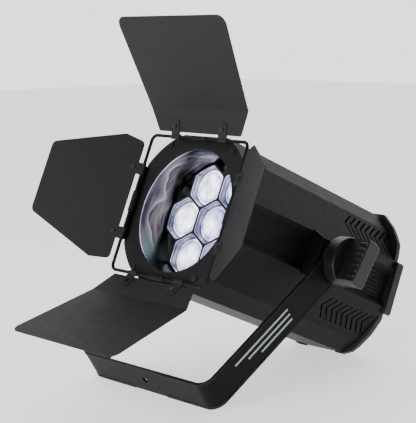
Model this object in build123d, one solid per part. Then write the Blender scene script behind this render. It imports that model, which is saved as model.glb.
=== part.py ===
from build123d import *
import math
import os

os.makedirs("parts", exist_ok=True)

# LED zoom spotlight with four barn doors, hung in a U-shaped yoke. Millimetres, +Z up.
# The origin is the centre of the clamp hole, on the outer face of the yoke's base.
# The lamp is set down on that base and on its rear cap, and its head looks up.

# Stance
HEAD_TILT = 24.0
YOKE_SWING = 58.36
YOKE_REACH = 293.4
PIVOT_Y = YOKE_REACH * math.sin(math.radians(YOKE_SWING))
PIVOT_Z = YOKE_REACH * math.cos(math.radians(YOKE_SWING))

# Yoke
YOKE_HALF = 135.7
YOKE_WIDTH = 45.0
YOKE_PLATE = 4.0
YOKE_BEND = 20.0
YOKE_LIP = 0.8
LIP_WIDTH = 3.0
CLAMP_HOLE = 5.25
STUD = 6.0
STUD_FIT = 0.05
BUSH = 8.2

# Barn-door ring and its rod, in the head's frame: Y runs back from the tilt axis
ROD_Y = -202.0
ROD_X = 100.0
ROD_Z = 103.0
ROD = 2.4
ROD_CORNER = 9.0
CURL = 3.6
RING_FRONT = -192.1
RING_BACK = -190.6
RING_DISC = 119.5
RING_FLAT_X = 103.6
RING_FLAT_Z = 104.6
RING_SHEET = 1.5
APERTURE = 91.3
RING_SCREW_X = 65.0
RING_SCREW_Z = 93.2

# Barn-door leaves: angles from straight ahead, outwards
TOP_OPEN = 64.1
BOTTOM_OPEN = 60.8
RIGHT_OPEN = 58.6
LEFT_OPEN = 48.5
LEAF_SHEET = 1.2
LEAF_CREASE = 20.9
HINGE_AT = 49.0
HINGE_WIDTH = 17.5
HINGE_FIT = 0.06
HINGE_SCREW_V = 15.5
LEAF_BACK = -0.6
STRAP_BACK = LEAF_BACK + LEAF_SHEET

# Housing
SHELL = 2.5
BODY_FRONT = -187.6
BODY_BACK = 168.0
SEAM_Z = 27.0
VENT_COUNT = 9
VENT_PITCH = 12.3
VENT_SLOT = 3.0
CAP_BACK = 184.0
CAP_RIM_BACK = 177.0
PANEL_Y = 181.0

# Optics
TUBE = 92.0
TUBE_WALL = 1.4
LED_FRONT = -72.0
LED_BACK = -68.0
LENS_PITCH = 61.0
LENS_FLATS = 58.0
LENS_TRIM = 89.0
CARRIAGE_FRONT = -135.0
CARRIAGE_BACK = -129.0
LENS_BACK = -123.0
LENS_CROWN = 26.0
CROWN_SAG = 3.5
OPTIC_MOUTH = -90.0
GUIDE_R = 84.0
GUIDE_ROD = 2.5
LEAD_SCREW = 3.0
ROD_FRONT = -137.0

# Tilt knobs
BOSS_FACE = 128.0
KNOB_DISC = 35.5
KNOB_BACK = 138.25
KNOB_STEP = 157.0
KNOB_FACE = 187.5
KNOB_GRIP = 13.0
KNOB_TURN = 12.0

HEAD = Pos(0, PIVOT_Y, PIVOT_Z) * Rot(-HEAD_TILT, 0, 0)
YOKE = Pos(0, PIVOT_Y, PIVOT_Z) * Rot(-YOKE_SWING, 0, 0)

BODY_OUTLINE = [
    (46.5, 110.5), (72, 88), (107, 30), (97, 19), (97, -19), (107, -30), (72, -88), (46.5, -110.5),
    (-46.5, -110.5), (-72, -88), (-107, -30), (-97, -19), (-97, 19), (-107, 30), (-72, 88), (-46.5, 110.5),
]
CAP_RIGHT = [
    (53, 115), (76, 97.5), (86, 85.5), (95, 73.5), (98, 54), (98.5, 0), (99, -48.5),
    (87, -76), (71, -98), (63, -106), (47, -112.5),
]
CAP_OUTLINE = CAP_RIGHT + [(-x, z) for x, z in reversed(CAP_RIGHT)]


def cyl_y(x, z, r, y0, y1):
    return Pos(x, (y0 + y1) / 2, z) * Rot(90, 0, 0) * Cylinder(r, y1 - y0)


def cyl_x(y, z, r, x0, x1):
    return Pos((x0 + x1) / 2, y, z) * Rot(0, 90, 0) * Cylinder(r, x1 - x0)


def block(x0, x1, y0, y1, z0, z1):
    return Pos((x0 + x1) / 2, (y0 + y1) / 2, (z0 + z1) / 2) * Box(x1 - x0, y1 - y0, z1 - z0)


def outline_face(points):
    return Plane.XZ * Polygon(*points, align=None)


def prism(face, y0, y1):
    return Pos(0, y1, 0) * extrude(face, y1 - y0, dir=(0, -1, 0))


def flip(shape):
    return mirror(shape, about=Plane.YZ)


def polar(radius, degrees):
    angle = math.radians(degrees)
    return radius * math.cos(angle), radius * math.sin(angle)


def hexagon(x, z, flats, turn=90):
    return Plane.XZ * Pos(x, z, 0) * RegularPolygon(flats / 2, 6, major_radius=False, rotation=turn)


def save(name, place, *solids):
    placed = [place * solid for solid in solids]
    shape = placed[0] if len(placed) == 1 else Compound(children=placed)
    export_step(shape, "parts/" + name + ".step")


# ---------------------------------------------------------------- yoke

def u_strip(half, reach, bend, y0, y1):
    return prism(
        Plane.XZ * fillet(
            (Pos(0, -reach / 2) * Rectangle(2 * half, reach)).vertices().group_by(Axis.Y)[0], bend
        ), y0, y1)


half_width = YOKE_WIDTH / 2
outer_u = u_strip(YOKE_HALF, YOKE_REACH, YOKE_BEND, -half_width, half_width)
inner_u = u_strip(YOKE_HALF - YOKE_PLATE, YOKE_REACH - YOKE_PLATE, YOKE_BEND - YOKE_PLATE, -30, 30)
lip_u = u_strip(YOKE_HALF + YOKE_LIP, YOKE_REACH + YOKE_LIP, YOKE_BEND + YOKE_LIP, -half_width, half_width)
lips = lip_u - outer_u
lips -= block(-160, 160, LIP_WIDTH - half_width, half_width - LIP_WIDTH, -320, 20)
lips -= block(-160, 160, -40, 40, -34, 20)
lips -= block(-34, 34, -40, 40, -320, -280)
yoke = outer_u - inner_u + lips
yoke -= block(-YOKE_HALF + YOKE_PLATE, YOKE_HALF - YOKE_PLATE, -30, 30, -40, 5)
for side in (-1, 1):
    arm_end = cyl_x(0, 0, half_width, YOKE_HALF - YOKE_PLATE, YOKE_HALF)
    bore = cyl_x(0, 0, BUSH, YOKE_HALF - 10, YOKE_HALF + 10)
    yoke = yoke + (arm_end if side > 0 else flip(arm_end))
    yoke = yoke - (bore if side > 0 else flip(bore))
yoke -= Pos(0, 0, -YOKE_REACH) * Cylinder(CLAMP_HOLE, 20)
save("yoke", YOKE, yoke)

bush = cyl_x(0, 0, BUSH, YOKE_HALF - YOKE_PLATE, YOKE_HALF)
bush -= cyl_x(0, 0, STUD + STUD_FIT, YOKE_HALF - 10, YOKE_HALF + 10)
save("yoke_bushes", YOKE, bush, flip(bush))

# ---------------------------------------------------------------- ring plate and rod

ring = cyl_y(0, 0, RING_DISC, RING_FRONT, RING_BACK)
ring &= block(-RING_FLAT_X, RING_FLAT_X, -300, 0, -RING_FLAT_Z, RING_FLAT_Z)
for turn, rod_at, flat in ((0, ROD_Z, RING_FLAT_Z), (90, ROD_X, RING_FLAT_X)):
    for extra in (0, 180):
        spin = Rot(0, turn + extra, 0)
        ring += spin * block(-56, 56, -196.6, RING_BACK, flat - RING_SHEET, flat)
        ring += spin * block(-36, 36, -198.2, RING_BACK, flat - RING_SHEET, flat)
        clip = block(-15, 15, ROD_Y + 2.9, -197, flat - RING_SHEET, flat)
        clip += Pos(0, ROD_Y, rod_at) * Rot(0, 90, 0) * Cylinder(CURL, 30)
        clip -= Pos(0, ROD_Y, rod_at) * Rot(0, 90, 0) * Cylinder(ROD, 40)
        ring += spin * clip
ring -= cyl_y(0, 0, APERTURE, -230, -150)
ring_screws = []
for x in (-RING_SCREW_X, RING_SCREW_X):
    for z in (-RING_SCREW_Z, RING_SCREW_Z):
        ring -= cyl_y(x, z, 2.0, -230, -150)
        screw = cyl_y(x, z, 4.0, RING_FRONT - 2.2, RING_FRONT) + cyl_y(x, z, 2.0, RING_FRONT, BODY_FRONT)
        screw -= cyl_y(x, z, 1.5, RING_FRONT - 3, RING_FRONT - 0.9)
        ring_screws.append(screw)
save("ring_plate", HEAD, ring)
save("ring_screws", HEAD, *ring_screws)

rod_runs = []
for side in (-1, 1):
    reach_x = ROD_X - ROD_CORNER
    reach_z = ROD_Z - ROD_CORNER
    rod_runs.append(cyl_x(ROD_Y, side * ROD_Z, ROD, -reach_x, reach_x))
    rod_runs.append(Pos(side * ROD_X, ROD_Y, 0) * Cylinder(ROD, 2 * reach_z))
for sx, sz, start in ((1, 1, 0), (-1, 1, 90), (-1, -1, 180), (1, -1, 270)):
    centre = Pos(sx * (ROD_X - ROD_CORNER), ROD_Y, sz * (ROD_Z - ROD_CORNER))
    bend = Rot(90, 0, 0) * Torus(ROD_CORNER, ROD)
    corner_box = Box(3 * ROD_CORNER, 10, 3 * ROD_CORNER)
    keep = Pos(sx * 1.5 * ROD_CORNER, 0, sz * 1.5 * ROD_CORNER) * corner_box
    rod_runs.append(centre * (bend & keep))
rod_frame = rod_runs[0]
for run in rod_runs[1:]:
    rod_frame = rod_frame + run
save("door_rod_frame", HEAD, rod_frame)

# ---------------------------------------------------------------- barn-door leaves

def leaf_place(turn, rod_at, opening):
    return HEAD * Pos(0, ROD_Y, 0) * Rot(0, turn, 0) * Pos(0, 0, rod_at) * Rot(90 - opening, 0, 0)


def sheet(points, corners):
    face = Polygon(*points, align=None)
    for v_low, v_high, radius in corners:
        chosen = [v for v in face.vertices() if v_low < v.Y < v_high]
        face = fillet(chosen, radius)
    return Pos(0, -LEAF_BACK, 0) * extrude(Plane.XZ * face, LEAF_SHEET, dir=(0, -1, 0))


def side_leaf():
    half = [(89.4, 8.1), (94.4, 38.4), (53.4, 139.9)]
    points = half + [(-u, v) for u, v in reversed(half)]
    return sheet(points, [(130, 150, 9), (30, 45, 7), (5, 15, 7)])


def creased_leaf():
    crease = 42.3
    strip = sheet([(84.8, 7.3), (100.8, crease), (-100.8, crease), (-84.8, 7.3)], [(5, 15, 3)])
    panel = sheet([(100.8, 0), (112.3, 140.8), (-112.3, 140.8), (-100.8, 0)], [(130, 150, 14)])
    fold = Pos(0, -LEAF_BACK, crease) * Rot(LEAF_CREASE, 0, 0) * Pos(0, LEAF_BACK, 0)
    return strip + fold * panel


def hinge(u):
    face = Pos(u, 14) * Rectangle(HINGE_WIDTH, 22)
    face = fillet(face.vertices().group_by(Axis.Y)[-1], 4)
    strap = Pos(0, -STRAP_BACK, 0) * extrude(Plane.XZ * face, LEAF_SHEET, dir=(0, -1, 0))
    strap += cyl_x(0, 0, CURL, u - HINGE_WIDTH / 2, u + HINGE_WIDTH / 2)
    strap -= cyl_x(0, 0, ROD + HINGE_FIT, u - 20, u + 20)
    strap -= cyl_y(u, HINGE_SCREW_V, 1.6, -10, 10)
    return strap


def leaf_screw(u):
    seat = -STRAP_BACK - LEAF_SHEET
    screw = cyl_y(u, HINGE_SCREW_V, 3.2, seat - 1.9, seat)
    screw += cyl_y(u, HINGE_SCREW_V, 1.6, seat, -LEAF_BACK + 3.2)
    return screw - cyl_y(u, HINGE_SCREW_V, 1.2, seat - 3, seat - 0.8)


def leaf_nut(u):
    nut = prism(hexagon(u, HINGE_SCREW_V, 5.5), -LEAF_BACK, -LEAF_BACK + 2.4)
    return nut - cyl_y(u, HINGE_SCREW_V, 1.6, -10, 10)


leaves = {
    "top": (0, ROD_Z, TOP_OPEN, creased_leaf()),
    "right": (90, ROD_X, RIGHT_OPEN, side_leaf()),
    "bottom": (180, ROD_Z, BOTTOM_OPEN, creased_leaf()),
    "left": (-90, ROD_X, LEFT_OPEN, side_leaf()),
}
for name, (turn, rod_at, opening, panel) in leaves.items():
    place = leaf_place(turn, rod_at, opening)
    for u in (-HINGE_AT, HINGE_AT):
        panel -= cyl_y(u, HINGE_SCREW_V, 1.6, -10, 10)
    save(name + "_leaf", place, panel)
    save(name + "_leaf_hinges", place, hinge(-HINGE_AT), hinge(HINGE_AT))
    fasteners = [make(u) for u in (-HINGE_AT, HINGE_AT) for make in (leaf_screw, leaf_nut)]
    save(name + "_leaf_screws", place, *fasteners)

# ---------------------------------------------------------------- housing

outer_face = outline_face(BODY_OUTLINE)
inner_face = offset(outer_face, amount=-SHELL, kind=Kind.INTERSECTION)
body_solid = prism(outer_face, BODY_FRONT, BODY_BACK)
shell = body_solid - prism(inner_face, BODY_FRONT - 5, BODY_BACK + 5)
bulkhead_solid = prism(inner_face, LED_FRONT, LED_BACK)


def facet_plane(x, z, down_x, down_z):
    # local X runs back along the body, local Y runs up the facet
    length = math.hypot(down_x, down_z)
    up = (-down_x / length, 0, -down_z / length)
    return Plane(origin=(x, 0, z), x_dir=(0, 1, 0), z_dir=(up[2], 0, -up[0]))


def chevrons(plane, first, elbow, last, y_shift):
    cuts = []
    for start, end in ((first, elbow), (elbow, last)):
        (s0, y0), (s1, y1) = start, end
        length = math.hypot(s1 - s0, y1 - y0)
        slant = math.degrees(math.atan2(-(s1 - s0), y1 - y0))
        arm = SlotCenterToCenter(length, VENT_SLOT)
        middle = Pos((y0 + y1) / 2 + y_shift, -(s0 + s1) / 2) * Rot(0, 0, slant)
        cuts.append(extrude(plane * middle * arm, 5, both=True))
    return cuts[0] + cuts[1]


upper_facet = facet_plane(72, 88, 35, -58)
lower_facet = facet_plane(107, -30, -35, -58)
top_cuts = []
bottom_cuts = []
for step in range(VENT_COUNT):
    shift = step * VENT_PITCH
    upper = chevrons(upper_facet, (7, 65), (23.3, 48), (47.9, 64), shift)
    lower = chevrons(lower_facet, (21.1, 54), (36.4, 45), (55.2, 60), shift)
    top_cuts += [upper, flip(upper)]
    bottom_cuts += [lower, flip(lower)]

top_housing = shell & block(-120, 120, -200, 200, SEAM_Z, 120)
top_housing = top_housing.cut(*[s for c in top_cuts for s in c.solids()])
bottom_housing = shell & block(-120, 120, -200, 200, -120, -SEAM_Z)
bottom_housing = bottom_housing.cut(*[s for c in bottom_cuts for s in c.solids()])
save("top_housing", HEAD, top_housing)
save("bottom_housing", HEAD, bottom_housing)

side_panel = shell & block(80, 120, -200, 200, -SEAM_Z, SEAM_Z)
side_panel -= cyl_x(0, 0, STUD, 80, 120)
perforations = []
for column in range(10):
    for row in range(7):
        perforations.append(cyl_x(91 + 6 * column, 20 - 6 * row, 1.5, 90, 101))
side_panel = side_panel.cut(*perforations)
save("right_side_panel", HEAD, side_panel)
save("left_side_panel", HEAD, flip(side_panel))

# ---------------------------------------------------------------- front bezel and optics

bezel = prism(outer_face, RING_BACK, BODY_FRONT) + prism(inner_face, BODY_FRONT, -178)
for x in (-RING_SCREW_X, RING_SCREW_X):
    for z in (-RING_SCREW_Z, RING_SCREW_Z):
        bezel += cyl_y(x, z, 5.5, RING_BACK, BODY_FRONT)
bezel -= cyl_y(0, 0, APERTURE, -230, -150)
bezel -= cyl_y(0, 0, TUBE + TUBE_WALL, BODY_FRONT, -150)
for x in (-RING_SCREW_X, RING_SCREW_X):
    for z in (-RING_SCREW_Z, RING_SCREW_Z):
        bezel -= cyl_y(x, z, 2.0, -230, -182)
save("front_bezel", HEAD, bezel)

tube = cyl_y(0, 0, TUBE + TUBE_WALL, BODY_FRONT, LED_FRONT) - cyl_y(0, 0, TUBE, -200, -60)
save("mirror_tube", HEAD, tube)

cells = [(0, 0)] + [polar(LENS_PITCH, 60 * k) for k in range(6)]
trim = cyl_y(0, 0, LENS_TRIM, -160, -110)
carriage = Part() + [prism(hexagon(x, z, LENS_PITCH + 3), CARRIAGE_FRONT, CARRIAGE_BACK) for x, z in cells]
carriage &= cyl_y(0, 0, LENS_TRIM + 1.6, -160, -120)
guides = [polar(GUIDE_R, 150), polar(GUIDE_R, 330)]
screws = [polar(GUIDE_R, 90), polar(GUIDE_R, 270)]
for angle in (90, 150, 270, 330):
    x, z = polar(GUIDE_R, angle)
    carriage += cyl_y(x, z, 6.5, CARRIAGE_FRONT, CARRIAGE_BACK)
    carriage += Rot(0, -angle, 0) * block(64, GUIDE_R, CARRIAGE_FRONT, CARRIAGE_BACK, -5, 5)
for x, z in cells:
    carriage -= prism(hexagon(x, z, LENS_FLATS), -150, -120) & trim
for x, z in guides + screws:
    carriage -= cyl_y(x, z, 4.6, -150, -120)
save("lens_carriage", HEAD, carriage)


def lens(x, z):
    # a deep hexagonal block, flat in front, with a crowned back
    radius = (LENS_CROWN ** 2 + CROWN_SAG ** 2) / (2 * CROWN_SAG)
    crown = Pos(x, LENS_BACK + CROWN_SAG - radius, z) * Sphere(radius)
    crown &= cyl_y(x, z, LENS_CROWN, LENS_BACK - 2, LENS_BACK + 6)
    return (prism(hexagon(x, z, LENS_FLATS), CARRIAGE_FRONT, LENS_BACK) & trim) + (crown & trim)


save("centre_lens", HEAD, lens(0, 0))
save("outer_lenses", HEAD, *[lens(x, z) for x, z in cells[1:]])

bushes = []
for points, radius in ((guides, GUIDE_ROD), (screws, LEAD_SCREW)):
    for x, z in points:
        bushes.append(cyl_y(x, z, 4.6, -136, -126) - cyl_y(x, z, radius + 0.05, -145, -120))
save("carriage_bushes", HEAD, *bushes)
save("guide_rods", HEAD, *[cyl_y(x, z, GUIDE_ROD, ROD_FRONT, LED_BACK) for x, z in guides])
for name, (x, z) in zip(("upper", "lower"), screws):
    save("zoom_screw_" + name, HEAD, cyl_y(x, z, LEAD_SCREW, ROD_FRONT, LED_BACK + 6))

led_plate = bulkhead_solid
for x, z in guides:
    led_plate -= cyl_y(x, z, GUIDE_ROD, -80, -60)
for x, z in screws:
    led_plate -= cyl_y(x, z, 4.0, -80, -60)
save("led_plate", HEAD, led_plate)
emitters = []
for x, z in cells:
    emitters.append(cyl_y(x, z, 12, LED_FRONT - 2, LED_FRONT) + cyl_y(x, z, 6, LED_FRONT - 3, LED_FRONT))
save("led_emitters", HEAD, *emitters)
pipes = []
for x, z in cells:
    narrow = Pos(0, LED_FRONT - 3, 0) * hexagon(x, z, 13)
    wide = Pos(0, OPTIC_MOUTH, 0) * hexagon(x, z, 34)
    pipes.append(loft([narrow, wide]))
save("mixing_optics", HEAD, *pipes)

motors = []
for x, z in screws:
    motor = block(x - 14, x + 14, LED_BACK, LED_BACK + 32, z - 14, z + 14)
    motor = chamfer(motor.edges().filter_by(Axis.Y), 2)
    motors.append(motor - cyl_y(x, z, LEAD_SCREW + 0.05, LED_BACK - 5, LED_BACK + 6.5))
save("zoom_motors", HEAD, *motors)

# ---------------------------------------------------------------- cooling and electronics

heat_sink = block(-74, 74, LED_BACK, LED_BACK + 6, -60, 60)
for k in range(19):
    x = -72 + 8 * k
    heat_sink += block(x - 0.8, x + 0.8, LED_BACK, 0, -60, 60)
save("heat_sink", HEAD, heat_sink)

fan = block(-60, 60, 0, 25, -60, 60) - cyl_y(0, 0, 57, -5, 30)
fan += cyl_y(0, 0, 20, 21, 25)
for k in range(4):
    strut = Rot(0, 45 + 90 * k, 0) * block(18, 60, 21, 25, -3, 3)
    fan += strut & block(-60, 60, 21, 25, -60, 60)
fan -= cyl_y(0, 0, 2.05, 18, 28)
save("fan_frame", HEAD, fan)
rotor = cyl_y(0, 0, 19.5, 2, 20.3) + cyl_y(0, 0, 2.0, 20, 25)
for k in range(7):
    blade = Pos(37, 11, 0) * Rot(38, 0, 0) * Box(37, 1.6, 20)
    rotor += Rot(0, 360 * k / 7, 0) * blade
rotor &= cyl_y(0, 0, 55.5, 1.5, 25)
save("fan_rotor", HEAD, rotor)

supply = block(-44, 44, 38, 143, -108, -63)
save("power_supply", HEAD, chamfer(supply.edges().filter_by(Axis.Z), 2))

# ---------------------------------------------------------------- rear cap

cap_face = outline_face(CAP_OUTLINE)
cap = prism(cap_face, 166, 173)
cap_rear = extrude(Pos(0, 173, 0) * cap_face, CAP_BACK - 173, dir=(0, 1, 0), taper=34)
cap += cap_rear
for side in (-1, 1):
    rim_points = [(90, 40), (107, 43), (110, 40), (110, -37), (107, -40), (90, -37)]
    rim = prism(outline_face(rim_points), 163, CAP_RIM_BACK)
    cap += rim if side > 0 else flip(rim)
cap -= prism(outer_face, 150, BODY_BACK)
cavity_face = offset(inner_face, amount=-10, kind=Kind.INTERSECTION)
cap -= prism(inner_face, 160, 172)
cap -= prism(cavity_face, 160, PANEL_Y - 3)
cap -= block(-33, 33, 160, 200, -120, -110.5)
cap -= block(-78, 78, PANEL_Y, 200, -62, 78)
button_x = [18, 32, 46, 60]
socket_at = {"power": [(-56, -28), (-20, -28)], "dmx": [(18, -28), (54, -28)]}
for x in button_x:
    cap -= cyl_y(x, 45, 5.1, 170, 200)
for places in socket_at.values():
    for x, z in places:
        cap -= cyl_y(x, z, 12, 170, 200)
save("rear_cap", HEAD, cap)

panel = block(-72, 72, PANEL_Y, PANEL_Y + 1.5, 22, 68)
panel = fillet(panel.edges().filter_by(Axis.Y), 4)
panel -= block(-56, -4, 170, 200, 32, 58)
for x in button_x:
    panel -= cyl_y(x, 45, 5.1, 170, 200)
save("control_panel", HEAD, panel)
save("display_window", HEAD, block(-56, -4, PANEL_Y, PANEL_Y + 1.2, 32, 58))
for number, x in enumerate(button_x, 1):
    button = cyl_y(x, 45, 5.0, PANEL_Y - 6, PANEL_Y + 3.2) + cyl_y(x, 45, 6.5, PANEL_Y - 6, PANEL_Y - 3.1)
    save("menu_button_" + str(number), HEAD, fillet(button.edges().sort_by(Axis.Y)[-1], 0.8))

board = block(-68, 68, 163, 164.6, 22, 68)
for x in (-64, 64):
    for z in (26, 64):
        board += cyl_y(x, z, 3, 164.6, PANEL_Y - 3)
save("control_board", HEAD, board)

for kind, places in socket_at.items():
    sockets = []
    for x, z in places:
        body = cyl_y(x, z, 12, PANEL_Y - 12, PANEL_Y + 1)
        body += block(x - 14, x + 14, PANEL_Y, PANEL_Y + 1.8, z - 16, z + 16)
        body -= cyl_y(x, z, 9.5, PANEL_Y - 8, 200)
        sockets.append(body)
    save(kind + "_sockets", HEAD, *sockets)

cap_screws = []
for x, z in ((-68, 73), (68, 73), (-68, -55), (68, -55)):
    screw = cyl_y(x, z, 3.4, PANEL_Y, PANEL_Y + 2) - cyl_y(x, z, 1.4, PANEL_Y + 0.8, PANEL_Y + 5)
    cap_screws.append(screw)
save("cap_screws", HEAD, *cap_screws)

# ---------------------------------------------------------------- tilt pivots and knobs

boss_face = outline_face([(88, 40), (97, 37), (BOSS_FACE, 23), (BOSS_FACE, -30), (124, -34), (88, -34)])
boss = prism(boss_face, -36, 36) - body_solid
pocket = outline_face([(103, 60), (103, 22), (122, 18), (122, 60)])
boss -= prism(pocket, -30, 20)
boss -= cyl_x(0, 0, STUD, 80, 140)
boss = [s for s in boss.solids() if s.volume > 1000][0]
save("right_pivot_boss", HEAD, boss)
save("left_pivot_boss", HEAD, flip(boss))

stud = cyl_x(0, 0, 17, 90.5, 94.5) + cyl_x(0, 0, STUD, 90.5, 178)
save("pivot_studs", HEAD, stud, flip(stud))
washer = cyl_x(0, 0, 27, BOSS_FACE, YOKE_HALF - YOKE_PLATE - 0.05) - cyl_x(0, 0, STUD, 120, 140)
save("friction_washers", HEAD, washer, flip(washer))

knob_washer = cyl_x(0, 0, 17, YOKE_HALF + 0.05, KNOB_BACK - 0.05)
knob_washer -= cyl_x(0, 0, STUD + STUD_FIT, 130, 140)
knob = cyl_x(0, 0, KNOB_DISC, KNOB_BACK, KNOB_STEP)
knob = fillet(knob.edges().sort_by(Axis.X)[-1], 2)
grip_face = Plane.YZ * (Rectangle(2 * KNOB_GRIP, 80) & Circle(KNOB_DISC - 0.6))
grip = Pos(KNOB_STEP - 1, 0, 0) * extrude(grip_face, KNOB_FACE - KNOB_STEP + 1, dir=(1, 0, 0))
grip = fillet(grip.faces().sort_by(Axis.X)[-1].edges(), 2)
knob += grip
for k in range(7):
    for side in (-1, 1):
        knob += cyl_x(side * KNOB_GRIP, -25.5 + 8.5 * k, 2.4, 174.5, KNOB_FACE - 1.2)
knob -= cyl_x(0, 0, STUD + STUD_FIT, 130, 181)
right_turn = Rot(-KNOB_TURN, 0, 0)
save("right_knob_washer", HEAD, knob_washer)
save("left_knob_washer", HEAD, flip(knob_washer))
save("right_knob", HEAD, right_turn * knob)
save("left_knob", HEAD, flip(right_turn * knob))
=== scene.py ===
import math
import bpy
import bmesh
from mathutils import Matrix, Vector


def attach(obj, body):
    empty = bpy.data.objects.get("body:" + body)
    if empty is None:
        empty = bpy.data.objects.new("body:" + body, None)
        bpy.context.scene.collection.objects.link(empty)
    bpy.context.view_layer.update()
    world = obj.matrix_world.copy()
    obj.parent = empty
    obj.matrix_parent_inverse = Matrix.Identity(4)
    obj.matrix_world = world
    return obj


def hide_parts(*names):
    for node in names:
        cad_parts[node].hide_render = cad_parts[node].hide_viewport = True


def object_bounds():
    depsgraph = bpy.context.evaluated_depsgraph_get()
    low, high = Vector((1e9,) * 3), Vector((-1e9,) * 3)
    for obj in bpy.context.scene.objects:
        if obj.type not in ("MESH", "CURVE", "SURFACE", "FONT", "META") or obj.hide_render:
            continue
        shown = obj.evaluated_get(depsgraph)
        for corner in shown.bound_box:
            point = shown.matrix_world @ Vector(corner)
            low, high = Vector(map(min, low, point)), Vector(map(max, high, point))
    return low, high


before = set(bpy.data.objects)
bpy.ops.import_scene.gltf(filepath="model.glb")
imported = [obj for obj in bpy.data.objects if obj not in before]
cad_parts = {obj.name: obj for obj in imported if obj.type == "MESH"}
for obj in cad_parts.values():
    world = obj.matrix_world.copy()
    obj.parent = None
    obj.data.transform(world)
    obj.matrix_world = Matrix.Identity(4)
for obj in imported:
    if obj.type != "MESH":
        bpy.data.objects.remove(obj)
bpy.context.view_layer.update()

# ---------------------------------------------------------------- the head's own frame
TILT = math.radians(24.0)
SWING = math.radians(58.36)
REACH = 0.2934
PIVOT = Vector((0.0, REACH * math.sin(SWING), REACH * math.cos(SWING)))
HEAD = Matrix.Translation(PIVOT) @ Matrix.Rotation(-TILT, 4, "X")
YOKE = Matrix.Translation(PIVOT) @ Matrix.Rotation(-SWING, 4, "X")


# ---------------------------------------------------------------- material helpers
# how far a rounded normal turns away from the true one where the lighter edge (part rubbed wear, part
# painted edge highlight) begins and where it is full
NO_EDGE_WEAR_OR_HIGHLIGHT = 0.02
FULL_EDGE_WEAR_AND_HIGHLIGHT = 0.35
EDGE_WEAR_AND_HIGHLIGHT_RADIUS = 0.0009


def new_material(name):
    mat = bpy.data.materials.new(name)
    mat.use_nodes = True
    tree = mat.node_tree
    tree.nodes.clear()
    out = tree.nodes.new("ShaderNodeOutputMaterial")
    bsdf = tree.nodes.new("ShaderNodeBsdfPrincipled")
    tree.links.new(bsdf.outputs["BSDF"], out.inputs["Surface"])
    return mat, tree, bsdf


def add(tree, kind, **settings):
    node = tree.nodes.new(kind)
    for key, value in settings.items():
        setattr(node, key, value)
    return node


def coords(tree, scale=(1, 1, 1), head_axes=False):
    place = add(tree, "ShaderNodeTexCoord").outputs["Object"]
    if head_axes:
        shifted = add(tree, "ShaderNodeVectorMath", operation="SUBTRACT")
        shifted.inputs[1].default_value = PIVOT
        tree.links.new(place, shifted.inputs[0])
        turned = add(tree, "ShaderNodeMapping")
        turned.inputs["Rotation"].default_value = (TILT, 0, 0)
        tree.links.new(shifted.outputs["Vector"], turned.inputs["Vector"])
        place = turned.outputs["Vector"]
    mapping = add(tree, "ShaderNodeMapping")
    mapping.inputs["Scale"].default_value = scale
    tree.links.new(place, mapping.inputs["Vector"])
    return mapping.outputs["Vector"]


def noise(tree, vector, scale, detail, rough):
    node = add(tree, "ShaderNodeTexNoise")
    node.inputs["Scale"].default_value = scale
    node.inputs["Detail"].default_value = detail
    node.inputs["Roughness"].default_value = rough
    tree.links.new(vector, node.inputs["Vector"])
    return node.outputs["Fac"]


def ramp(tree, value, stops):
    node = add(tree, "ShaderNodeValToRGB")
    elements = node.color_ramp.elements
    while len(elements) < len(stops):
        elements.new(0.5)
    for element, (at, colour) in zip(elements, stops):
        element.position = at
        element.color = (*colour, 1.0)
    tree.links.new(value, node.inputs["Fac"])
    return node.outputs["Color"]


def span(tree, value, low, high, from_low, from_high):
    node = add(tree, "ShaderNodeMapRange")
    node.inputs["From Min"].default_value = from_low
    node.inputs["From Max"].default_value = from_high
    node.inputs["To Min"].default_value = low
    node.inputs["To Max"].default_value = high
    tree.links.new(value, node.inputs["Value"])
    return node.outputs["Result"]


def mix(tree, factor, first, second, blend="MIX"):
    node = add(tree, "ShaderNodeMix", data_type="RGBA", blend_type=blend)
    tree.links.new(factor, node.inputs["Factor"])
    for socket, value in ((node.inputs["A"], first), (node.inputs["B"], second)):
        if isinstance(value, tuple):
            socket.default_value = (*value, 1.0)
        else:
            tree.links.new(value, socket)
    return node.outputs["Result"]


def bump(tree, bsdf, height, strength, distance):
    node = add(tree, "ShaderNodeBump")
    node.inputs["Strength"].default_value = strength
    node.inputs["Distance"].default_value = distance
    tree.links.new(height, node.inputs["Height"])
    tree.links.new(node.outputs["Normal"], bsdf.inputs["Normal"])


def edge_mask(tree, radius):
    # 1 on sharp edges, 0 on flats: how far a rounded normal leaves the true one
    rounded = add(tree, "ShaderNodeBevel", samples=4)
    rounded.inputs["Radius"].default_value = radius
    true = add(tree, "ShaderNodeNewGeometry")
    dot = add(tree, "ShaderNodeVectorMath", operation="DOT_PRODUCT")
    tree.links.new(rounded.outputs["Normal"], dot.inputs[0])
    tree.links.new(true.outputs["Normal"], dot.inputs[1])
    return span(tree, dot.outputs["Value"], 1.0, 0.0, 1.0 - FULL_EDGE_WEAR_AND_HIGHLIGHT, 1.0 - NO_EDGE_WEAR_OR_HIGHLIGHT)


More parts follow.
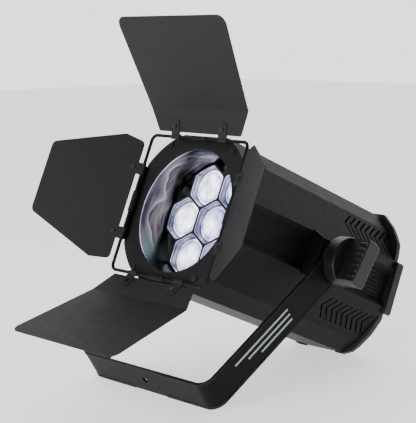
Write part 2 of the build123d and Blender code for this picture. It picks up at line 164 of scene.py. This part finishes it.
def coated(name, dark, light, rough, grain=1400.0, depth=0.00006,
           edge_wear_and_highlight=(0.11, 0.11, 0.112), edge_wear_and_highlight_strength=0.5, specular=0.5):
    # powder coat or moulded plastic: fine orange peel, soft blotches, lighter edges that are partly rubbed
    # wear and partly a painted edge highlight
    mat, tree, bsdf = new_material(name)
    place = coords(tree)
    blotch = noise(tree, place, 9.0, 5.0, 0.6)
    colour = ramp(tree, blotch, [(0.3, dark), (0.7, light)])
    scuff = noise(tree, place, 60.0, 4.0, 0.7)
    # edges lightened: partly rubbed wear, partly a painted edge highlight
    mask = edge_mask(tree, EDGE_WEAR_AND_HIGHLIGHT_RADIUS)
    rubbed_and_highlit = add(tree, "ShaderNodeMath", operation="MULTIPLY")
    tree.links.new(mask, rubbed_and_highlit.inputs[0])
    tree.links.new(span(tree, scuff, 0.0, edge_wear_and_highlight_strength, 0.35, 0.65), rubbed_and_highlit.inputs[1])
    tree.links.new(mix(tree, rubbed_and_highlit.outputs["Value"], colour, edge_wear_and_highlight), bsdf.inputs["Base Color"])
    fine = noise(tree, place, grain, 2.0, 0.55)
    tree.links.new(span(tree, scuff, rough[0], rough[1], 0.3, 0.7), bsdf.inputs["Roughness"])
    bsdf.inputs["Specular IOR Level"].default_value = specular
    bump(tree, bsdf, fine, 0.35, depth)
    return mat


def metal(name, dark, light, rough, stretch=(1, 1, 1)):
    # bare metal: fine grain in the roughness, slow clouds in the colour
    mat, tree, bsdf = new_material(name)
    place = coords(tree, stretch)
    grain = noise(tree, place, 300.0, 4.0, 0.6)
    cloud = noise(tree, coords(tree), 18.0, 3.0, 0.5)
    tree.links.new(ramp(tree, cloud, [(0.3, dark), (0.7, light)]), bsdf.inputs["Base Color"])
    tree.links.new(span(tree, grain, rough[0], rough[1], 0.3, 0.7), bsdf.inputs["Roughness"])
    bsdf.inputs["Metallic"].default_value = 1.0
    bump(tree, bsdf, grain, 0.25, 0.00002)
    return mat


def dress(mat, *names):
    for name in names:
        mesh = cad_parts[name].data
        mesh.materials.clear()
        mesh.materials.append(mat)


def soften(names, width, segments, angle=35.0):
    for name in names:
        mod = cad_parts[name].modifiers.new("edge", "BEVEL")
        mod.width = width
        mod.segments = segments
        mod.limit_method = "ANGLE"
        mod.angle_limit = math.radians(angle)
        mod.harden_normals = True


def piece(name, mesh_bm, mat, body, smooth=30.0):
    mesh = bpy.data.meshes.new(name)
    mesh_bm.normal_update()
    mesh_bm.to_mesh(mesh)
    mesh_bm.free()
    obj = bpy.data.objects.new(name, mesh)
    bpy.context.scene.collection.objects.link(obj)
    mesh.materials.append(mat)
    mesh.shade_smooth()
    mesh.set_sharp_from_angle(angle=math.radians(smooth))
    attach(obj, body)
    return obj


# ---------------------------------------------------------------- materials
coat = coated("satin_powder_coat", (0.0062, 0.0062, 0.0064), (0.0072, 0.0072, 0.0074),
              rough=(0.47, 0.56), specular=0.12, edge_wear_and_highlight=(0.08, 0.08, 0.082))
leaf_coat = coated("leaf_powder_coat", (0.0108, 0.0108, 0.0112), (0.0124, 0.0124, 0.0129),
                   rough=(0.53, 0.62), grain=1700.0, specular=0.14)
# the yoke's edges get a stronger lighter rim: painted edge highlight along with rubbed wear
yoke_coat = coated("yoke_powder_coat", (0.0032, 0.0032, 0.0034), (0.0040, 0.0040, 0.0042),
                   rough=(0.44, 0.54), specular=0.10, edge_wear_and_highlight=(0.2, 0.2, 0.205), edge_wear_and_highlight_strength=0.8)
cast = coated("cast_powder_coat", (0.0048, 0.0048, 0.0051), (0.0060, 0.0060, 0.0063),
              rough=(0.5, 0.6), grain=900.0, depth=0.0001, specular=0.12, edge_wear_and_highlight=(0.08, 0.08, 0.082))
moulded = coated("moulded_black", (0.0075, 0.0075, 0.008), (0.0100, 0.0100, 0.0105),
                 rough=(0.45, 0.6), grain=1100.0, edge_wear_and_highlight=(0.05, 0.05, 0.052), specular=0.3)
knob_black = coated("knob_moulding", (0.0085, 0.0085, 0.0088), (0.0105, 0.0105, 0.0108),
                    rough=(0.28, 0.38), grain=1100.0, edge_wear_and_highlight=(0.07, 0.07, 0.072), specular=0.3)
cap_coat = coated("cap_moulding", (0.0135, 0.0139, 0.0135), (0.0165, 0.0170, 0.0165),
                  rough=(0.46, 0.56), grain=1000.0, specular=0.28)
rubber = coated("black_rubber", (0.008, 0.008, 0.008), (0.013, 0.013, 0.013),
                rough=(0.7, 0.85), grain=700.0, edge_wear_and_highlight_strength=0.1)
grey_key = coated("grey_key", (0.10, 0.10, 0.105), (0.14, 0.14, 0.145),
                  rough=(0.5, 0.65), grain=900.0, edge_wear_and_highlight=(0.2, 0.2, 0.2))
dark_steel = metal("blackened_steel", (0.10, 0.10, 0.105), (0.22, 0.22, 0.225), rough=(0.22, 0.4))
black_steel = metal("black_oxide_steel", (0.035, 0.035, 0.037), (0.075, 0.075, 0.078), rough=(0.3, 0.45))
bright_steel = metal("bright_steel", (0.42, 0.42, 0.43), (0.6, 0.6, 0.61), rough=(0.18, 0.3))
bronze = metal("bearing_bronze", (0.42, 0.27, 0.1), (0.55, 0.37, 0.16), rough=(0.25, 0.4))
raw_alu = metal("raw_aluminium", (0.5, 0.5, 0.51), (0.66, 0.66, 0.67),
                rough=(0.3, 0.45), stretch=(1, 8, 1))
case_steel = metal("zinc_case", (0.4, 0.41, 0.4), (0.55, 0.56, 0.55), rough=(0.35, 0.5))
anodised = coated("anodised_black", (0.012, 0.012, 0.013), (0.02, 0.02, 0.021), rough=(0.3, 0.4))
socket_body = coated("socket_moulding", (0.012, 0.018, 0.04), (0.02, 0.03, 0.06),
                     rough=(0.3, 0.45), grain=900.0, edge_wear_and_highlight=(0.1, 0.12, 0.2))
board_mat = coated("circuit_board", (0.01, 0.06, 0.025), (0.02, 0.09, 0.04),
                   rough=(0.3, 0.45), grain=500.0, edge_wear_and_highlight=(0.3, 0.25, 0.1))
overlay_mat = coated("printed_overlay", (0.02, 0.02, 0.022), (0.03, 0.03, 0.033),
                     rough=(0.35, 0.45), grain=1500.0)
emitter_mat = coated("emitter", (0.7, 0.66, 0.4), (0.85, 0.8, 0.55),
                     rough=(0.3, 0.4), grain=600.0, edge_wear_and_highlight=(0.8, 0.8, 0.7))
paint = coated("pale_print", (0.34, 0.38, 0.38), (0.42, 0.46, 0.46),
               rough=(0.4, 0.5), grain=1500.0, edge_wear_and_highlight=(0.2, 0.2, 0.2))


TUBE_MOUTH = -0.190
LENS_LINE = -0.128
# painted green reflection in the tube: full below the first height, gone above the second
GREEN_REFLECTION_FULL = -0.070
GREEN_REFLECTION_NONE = -0.030
# painted highlight on the tube's lip: full at the first place, gone at the second
LIP_HIGHLIGHT_FULL = -0.1862
LIP_HIGHLIGHT_NONE = -0.1850


def reflector():
    # rolled mirror sheet with painted reflections in its colour: painted bright streaks along the tube,
    # painted reflection bands and painted shade darkening towards the lenses, a painted green reflection low
    # down and a painted highlight on the lip at the mouth.
    # Y and Z are the head's own, so the tube's mouth is at the low end of Y
    mat, tree, bsdf = new_material("reflector_sheet")
    streaks_and_painted_reflections = noise(tree, coords(tree, (0.22, 2.2, 0.22), True), 60.0, 4.0, 0.6)
    broad = noise(tree, coords(tree, (1, 0.5, 0.8), True), 15.0, 2.0, 0.5)
    split = add(tree, "ShaderNodeSeparateXYZ")
    tree.links.new(coords(tree, (1, 1, 1), True), split.inputs["Vector"])
    depth = add(tree, "ShaderNodeMath", operation="ADD")
    tree.links.new(span(tree, split.outputs["Y"], 0.0, 1.0, TUBE_MOUTH, LENS_LINE), depth.inputs[0])
    tree.links.new(span(tree, broad, -0.30, 0.30, 0.3, 0.7), depth.inputs[1])
    # painted reflection bands and painted shade along the tube, darkest towards the lenses
    painted_reflection_bands = ramp(tree, depth.outputs["Value"], [
        (0.0, (0.105, 0.097, 0.108)), (0.16, (0.045, 0.041, 0.044)), (0.30, (0.095, 0.086, 0.092)),
        (0.37, (0.19, 0.18, 0.19)), (0.41, (0.032, 0.027, 0.028)), (0.62, (0.060, 0.049, 0.046)),
        (0.70, (0.022, 0.018, 0.018)), (1.0, (0.010, 0.009, 0.010))])
    # painted reflection: bright streaks along the tube
    with_painted_streaks = mix(tree, span(tree, streaks_and_painted_reflections, 0.0, 0.55, 0.48, 0.72), painted_reflection_bands, (0.24, 0.225, 0.235))
    # painted green reflection low down in the tube
    low = add(tree, "ShaderNodeMath", operation="ADD")
    tree.links.new(split.outputs["Z"], low.inputs[0])
    tree.links.new(span(tree, broad, -0.014, 0.014, 0.3, 0.7), low.inputs[1])
    painted_green_reflection = span(tree, low.outputs["Value"], 0.85, 0.0, GREEN_REFLECTION_FULL, GREEN_REFLECTION_NONE)
    with_green_reflection = mix(tree, painted_green_reflection, with_painted_streaks, (0.022, 0.055, 0.036))
    # painted highlight on the lip at the tube's mouth
    painted_lip_highlight = span(tree, split.outputs["Y"], 1.0, 0.0, LIP_HIGHLIGHT_FULL, LIP_HIGHLIGHT_NONE)
    tree.links.new(mix(tree, painted_lip_highlight, with_green_reflection, (0.62, 0.60, 0.66)), bsdf.inputs["Base Color"])
    tree.links.new(span(tree, streaks_and_painted_reflections, 0.16, 0.28, 0.3, 0.7), bsdf.inputs["Roughness"])
    bsdf.inputs["Metallic"].default_value = 1.0
    bump(tree, bsdf, broad, 0.5, 0.002)
    return mat


LENS_GLOW = 4.2


def glowing_lens():
    # a moulded lens block lit by the LEDs behind it, its colour also holding painted highlight and shade:
    # white crown, painted bright ring around it, painted violet shade and dark bands on the side walls,
    # painted bright front edge
    mat, tree, bsdf = new_material("lit_lens")
    zone = add(tree, "ShaderNodeAttribute", attribute_name="zone")
    veil = noise(tree, coords(tree, (1, 1, 1), True), 30.0, 3.0, 0.55)
    brush = noise(tree, coords(tree, (1, 1, 0.35), True), 160.0, 3.0, 0.6)
    # painted highlight and shade by zone: bright ring at the crown's foot, violet shade and dark bands up
    # the walls, bright front edge
    lens_light_and_painted_shading = ramp(tree, zone.outputs["Fac"], [
        (0.0, (1.0, 1.0, 1.0)), (0.30, (0.90, 0.90, 1.0)), (0.43, (0.26, 0.26, 0.40)),
        (0.462, (0.85, 0.86, 1.0)), (0.492, (0.70, 0.71, 0.92)), (0.515, (0.010, 0.010, 0.020)),
        (0.56, (0.050, 0.050, 0.082)), (0.70, (0.15, 0.15, 0.23)), (0.84, (0.020, 0.020, 0.036)),
        (0.93, (0.30, 0.31, 0.44)), (0.965, (0.06, 0.06, 0.10)), (1.0, (0.004, 0.004, 0.006))])
    shade = mix(tree, span(tree, veil, 0.0, 0.9, 0.38, 0.62), lens_light_and_painted_shading, (0.22, 0.22, 0.36), "MULTIPLY")
    shade = mix(tree, span(tree, brush, 0.0, 0.6, 0.42, 0.70), shade, (0.16, 0.16, 0.26), "MULTIPLY")
    tree.links.new(shade, bsdf.inputs["Base Color"])
    tree.links.new(shade, bsdf.inputs["Emission Color"])
    bsdf.inputs["Emission Strength"].default_value = LENS_GLOW
    tree.links.new(span(tree, veil, 0.05, 0.12, 0.3, 0.7), bsdf.inputs["Roughness"])
    bsdf.inputs["Coat Weight"].default_value = 0.5
    bsdf.inputs["Coat Roughness"].default_value = 0.03
    bump(tree, bsdf, brush, 0.15, 0.0004)
    return mat


def clear_optic():
    # clear moulding lit from behind
    mat, tree, bsdf = new_material("clear_optic")
    veil = noise(tree, coords(tree), 80.0, 2.0, 0.5)
    tint = ramp(tree, veil, [(0.3, (0.80, 0.82, 0.95)), (0.7, (0.95, 0.96, 1.0))])
    tree.links.new(tint, bsdf.inputs["Base Color"])
    tree.links.new(span(tree, veil, 0.05, 0.12, 0.3, 0.7), bsdf.inputs["Roughness"])
    bsdf.inputs["Emission Color"].default_value = (0.85, 0.86, 1.0, 1.0)
    bsdf.inputs["Emission Strength"].default_value = 0.5
    return mat


def display_glass():
    # dark glossy window, switched off
    mat, tree, bsdf = new_material("display_glass")
    cloud = noise(tree, coords(tree), 30.0, 2.0, 0.5)
    tint = ramp(tree, cloud, [(0.3, (0.004, 0.010, 0.022)), (0.7, (0.008, 0.018, 0.035))])
    tree.links.new(tint, bsdf.inputs["Base Color"])
    tree.links.new(span(tree, cloud, 0.05, 0.12, 0.3, 0.7), bsdf.inputs["Roughness"])
    bsdf.inputs["Coat Weight"].default_value = 1.0
    return mat


lens_mat = glowing_lens()

LEAVES = ("top_leaf", "right_leaf", "bottom_leaf", "left_leaf")
LEAF_HINGES = tuple(name + "_hinges" for name in LEAVES)
LEAF_SCREWS = tuple(name + "_screws" for name in LEAVES)

dress(yoke_coat, "yoke")
dress(bronze, "yoke_bushes")
dress(moulded, "carriage_bushes")
dress(coat, "ring_plate", "top_housing", "bottom_housing", "left_side_panel", "right_side_panel")
dress(leaf_coat, *LEAVES, *LEAF_HINGES)
dress(yoke_coat, "door_rod_frame")
dress(cast, "front_bezel", "left_pivot_boss", "right_pivot_boss")
dress(moulded, "lens_carriage", "fan_frame", "fan_rotor")
dress(knob_black, "right_knob", "left_knob")
dress(cap_coat, "rear_cap")
dress(rubber, "friction_washers")
dress(grey_key, "menu_button_1", "menu_button_2", "menu_button_3", "menu_button_4")
dress(black_steel, "ring_screws", "cap_screws", *LEAF_SCREWS)
dress(bright_steel, "pivot_studs", "right_knob_washer", "left_knob_washer")
dress(dark_steel, "guide_rods", "zoom_screw_upper", "zoom_screw_lower")
dress(raw_alu, "heat_sink")
dress(anodised, "led_plate")
dress(case_steel, "power_supply", "zoom_motors")
dress(socket_body, "power_sockets", "dmx_sockets")
dress(board_mat, "control_board")
dress(overlay_mat, "control_panel")
dress(display_glass(), "display_window")
dress(emitter_mat, "led_emitters")
dress(clear_optic(), "mixing_optics")
dress(reflector(), "mirror_tube")

soften(["yoke"], 0.0006, 2)
soften(["ring_plate", *LEAVES], 0.00025, 2)
soften(LEAF_HINGES, 0.0002, 2)
soften(["rear_cap", "left_pivot_boss", "right_pivot_boss"], 0.0010, 3)
soften(["right_knob", "left_knob"], 0.0005, 2, 50.0)


# ---------------------------------------------------------------- lit lenses
LENS_PITCH = 0.061
LENS_HALF = 0.0289
LENS_TRIM = 0.0888
AROUND = 72
CORNER_REACH = 1.115
CROWN_TIP = -0.1302
CROWN_RIM = -0.1248
CROWN_RISE = 0.0054
CROWN_RADIUS = 0.0262
CROWN_RINGS = 12
CROWN_HEX = 0.12

# rings after the crown, from its foot up the side walls and over the front edge to the back:
# how hexagonal, half the width across flats, place along the head, zone
WALL_RINGS = (
    (0.55, 0.0272, -0.1242, 0.53),
    (0.85, 0.0279, -0.1270, 0.64),
    (1.0, 0.0282, -0.1300, 0.75),
    (1.0, 0.0284, -0.1335, 0.88),
    (1.0, LENS_HALF - 0.0004, -0.1348, 0.93),
    (1.0, LENS_HALF, -0.1346, 0.97),
    (1.0, LENS_HALF, -0.1300, 1.0),
    (1.0, LENS_HALF, -0.1232, 1.0),
)


def lens_mesh(x, z):
    # a deep hexagonal block seen into: crowned floor, side walls and a thin front edge.
    # "zone" runs 0 to 0.5 over the crown, to 0.9 up the walls and to 1 over the edge
    bm = bmesh.new()
    layer = bm.verts.layers.float.new("zone")

    def ring(share_hex, reach, y, zone):
        made = []
        for k in range(AROUND):
            angle = 2 * math.pi * k / AROUND + math.pi / 6
            turn = (angle + math.pi / 6) % (math.pi / 3) - math.pi / 6
            hexagonal = min(reach / math.cos(turn), reach * CORNER_REACH)
            away = reach * (1 - share_hex) + hexagonal * share_hex
            px = x + away * math.cos(angle)
            pz = z + away * math.sin(angle)
            out = math.hypot(px, pz)
            if out > LENS_TRIM:
                px, pz = px * LENS_TRIM / out, pz * LENS_TRIM / out
            made.append(bm.verts.new(HEAD @ Vector((px, y, pz))))
            made[-1][layer] = zone
        return made

    centre = bm.verts.new(HEAD @ Vector((x, CROWN_TIP, z)))
    centre[layer] = 0.0
    rings = []
    for i in range(1, CROWN_RINGS + 1):
        share = i / CROWN_RINGS
        y = CROWN_RIM - CROWN_RISE * math.sqrt(max(0.0, 1 - (0.985 * share) ** 2))
        rings.append(ring(CROWN_HEX, CROWN_RADIUS * share, y, 0.5 * share))
    for wall in WALL_RINGS:
        rings.append(ring(*wall))
    for k in range(AROUND):
        bm.faces.new((centre, rings[0][k], rings[0][(k + 1) % AROUND]))
    for a, b in zip(rings, rings[1:]):
        for k in range(AROUND):
            n = (k + 1) % AROUND
            bm.faces.new((a[k], b[k], b[n], a[n]))
    bm.faces.new(list(reversed(rings[-1])))
    bmesh.ops.recalc_face_normals(bm, faces=bm.faces)
    return bm


centre_piece = piece("centre_lens_lit", lens_mesh(0, 0), lens_mat, "lens_carriage", 28)
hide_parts("centre_lens")
outer_bm = bmesh.new()
for k in range(6):
    angle = math.radians(60 * k)
    part = lens_mesh(LENS_PITCH * math.cos(angle), LENS_PITCH * math.sin(angle))
    temp = bpy.data.meshes.new("temp")
    part.to_mesh(temp)
    part.free()
    outer_bm.from_mesh(temp)
    bpy.data.meshes.remove(temp)
outer_piece = piece("outer_lenses_lit", outer_bm, lens_mat, "lens_carriage", 28)
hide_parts("outer_lenses")


# ---------------------------------------------------------------- stripes on the yoke's right arm
STRIPE_BACK = 0.1357
STRIPE_FACE = 0.1359
STRIPE_HALF = 0.0014
STRIPE_PITCH = 0.0085
STRIPE_START = 0.118
STRIPE_ENDS = (0.236, 0.212, 0.188)


def box_bm(bm, frame_matrix, low, high):
    made = bmesh.ops.create_cube(bm, size=1.0)["verts"]
    bmesh.ops.scale(bm, vec=Vector(high) - Vector(low), verts=made)
    bmesh.ops.translate(bm, vec=(Vector(high) + Vector(low)) / 2, verts=made)
    bmesh.ops.transform(bm, matrix=frame_matrix, verts=made)


marking = bmesh.new()
for k, stripe_end in enumerate(STRIPE_ENDS):
    across = -STRIPE_PITCH + STRIPE_PITCH * k
    box_bm(marking, YOKE, (STRIPE_BACK, across - STRIPE_HALF, -stripe_end),
           (STRIPE_FACE, across + STRIPE_HALF, -STRIPE_START))
piece("arm_stripes", marking, paint, "yoke")

# ---------------------------------------------------------------- stage, light and camera
FLOOR_REACH = 8
FLOOR_GLOW = 0.91
SKY_LOW = 0.18
SKY_HIGH = 2.1
SKY_FULL = 0.75
CAMERA_PLACE = (1.3702, -1.1315, 0.4845)
CAMERA_RIGHT = (0.6761, 0.7367, -0.0108)
CAMERA_FORWARD = (-0.7307, 0.6685, -0.1385)
CAMERA_LENS = 111.567

low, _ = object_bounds()
corners = [(x * FLOOR_REACH, y * FLOOR_REACH, low[2]) for x, y in ((-1, -1), (1, -1), (1, 1), (-1, 1))]
floor_mesh = bpy.data.meshes.new("floor")
floor_mesh.from_pydata(corners, [], [(0, 1, 2, 3)])
floor = bpy.data.objects.new("floor", floor_mesh)
bpy.context.scene.collection.objects.link(floor)
floor_mat, _, floor_bsdf = new_material("pale_floor")
floor_bsdf.inputs["Base Color"].default_value = (0.86, 0.86, 0.86, 1.0)
floor_bsdf.inputs["Roughness"].default_value = 0.6
floor_bsdf.inputs["Emission Color"].default_value = (1.0, 1.0, 1.0, 1.0)
floor_bsdf.inputs["Emission Strength"].default_value = FLOOR_GLOW
floor_mesh.materials.append(floor_mat)

world = bpy.data.worlds.new("studio")
bpy.context.scene.world = world
world.use_nodes = True
sky = world.node_tree
direction = add(sky, "ShaderNodeTexCoord")
facing = add(sky, "ShaderNodeVectorMath", operation="DOT_PRODUCT")
facing.inputs[1].default_value = (-0.74, 0.67, 0.0)  # away from the camera
sky.links.new(direction.outputs["Generated"], facing.inputs[0])
backdrop = sky.nodes["Background"]
backdrop.inputs["Color"].default_value = (1.0, 1.0, 1.0, 1.0)
brightness = span(sky, facing.outputs["Value"], SKY_LOW, SKY_HIGH, 0.0, SKY_FULL)
sky.links.new(brightness, backdrop.inputs["Strength"])


def soft_light(name, place, aim, size, power):
    lamp = bpy.data.lights.new(name, "AREA")
    lamp.shape = "SQUARE"
    lamp.size = size
    lamp.energy = power
    obj = bpy.data.objects.new(name, lamp)
    obj.location = place
    beam = Vector(aim) - Vector(place)
    obj.rotation_euler = beam.to_track_quat("-Z", "Y").to_euler()
    bpy.context.scene.collection.objects.link(obj)


soft_light("key", (0.25, -2.35, 0.5), (-0.1, 0.0, 0.2), 1.4, 104)
soft_light("top", (-0.2, 0.5, 2.4), (0, 0.2, 0.15), 1.6, 2.5)

camera_data = bpy.data.cameras.new("camera")
camera_data.sensor_fit = "AUTO"
camera_data.sensor_width = 36.0
camera_data.lens = CAMERA_LENS
camera_data.clip_start = 0.05
camera_data.clip_end = 50.0
camera = bpy.data.objects.new("camera", camera_data)
right = Vector(CAMERA_RIGHT).normalized()
forward = Vector(CAMERA_FORWARD).normalized()
up = right.cross(forward).normalized()
right = forward.cross(up).normalized()
turn = Matrix((right, up, -forward)).transposed().to_4x4()
camera.matrix_world = Matrix.Translation(Vector(CAMERA_PLACE)) @ turn
bpy.context.scene.collection.objects.link(camera)
bpy.context.scene.camera = camera
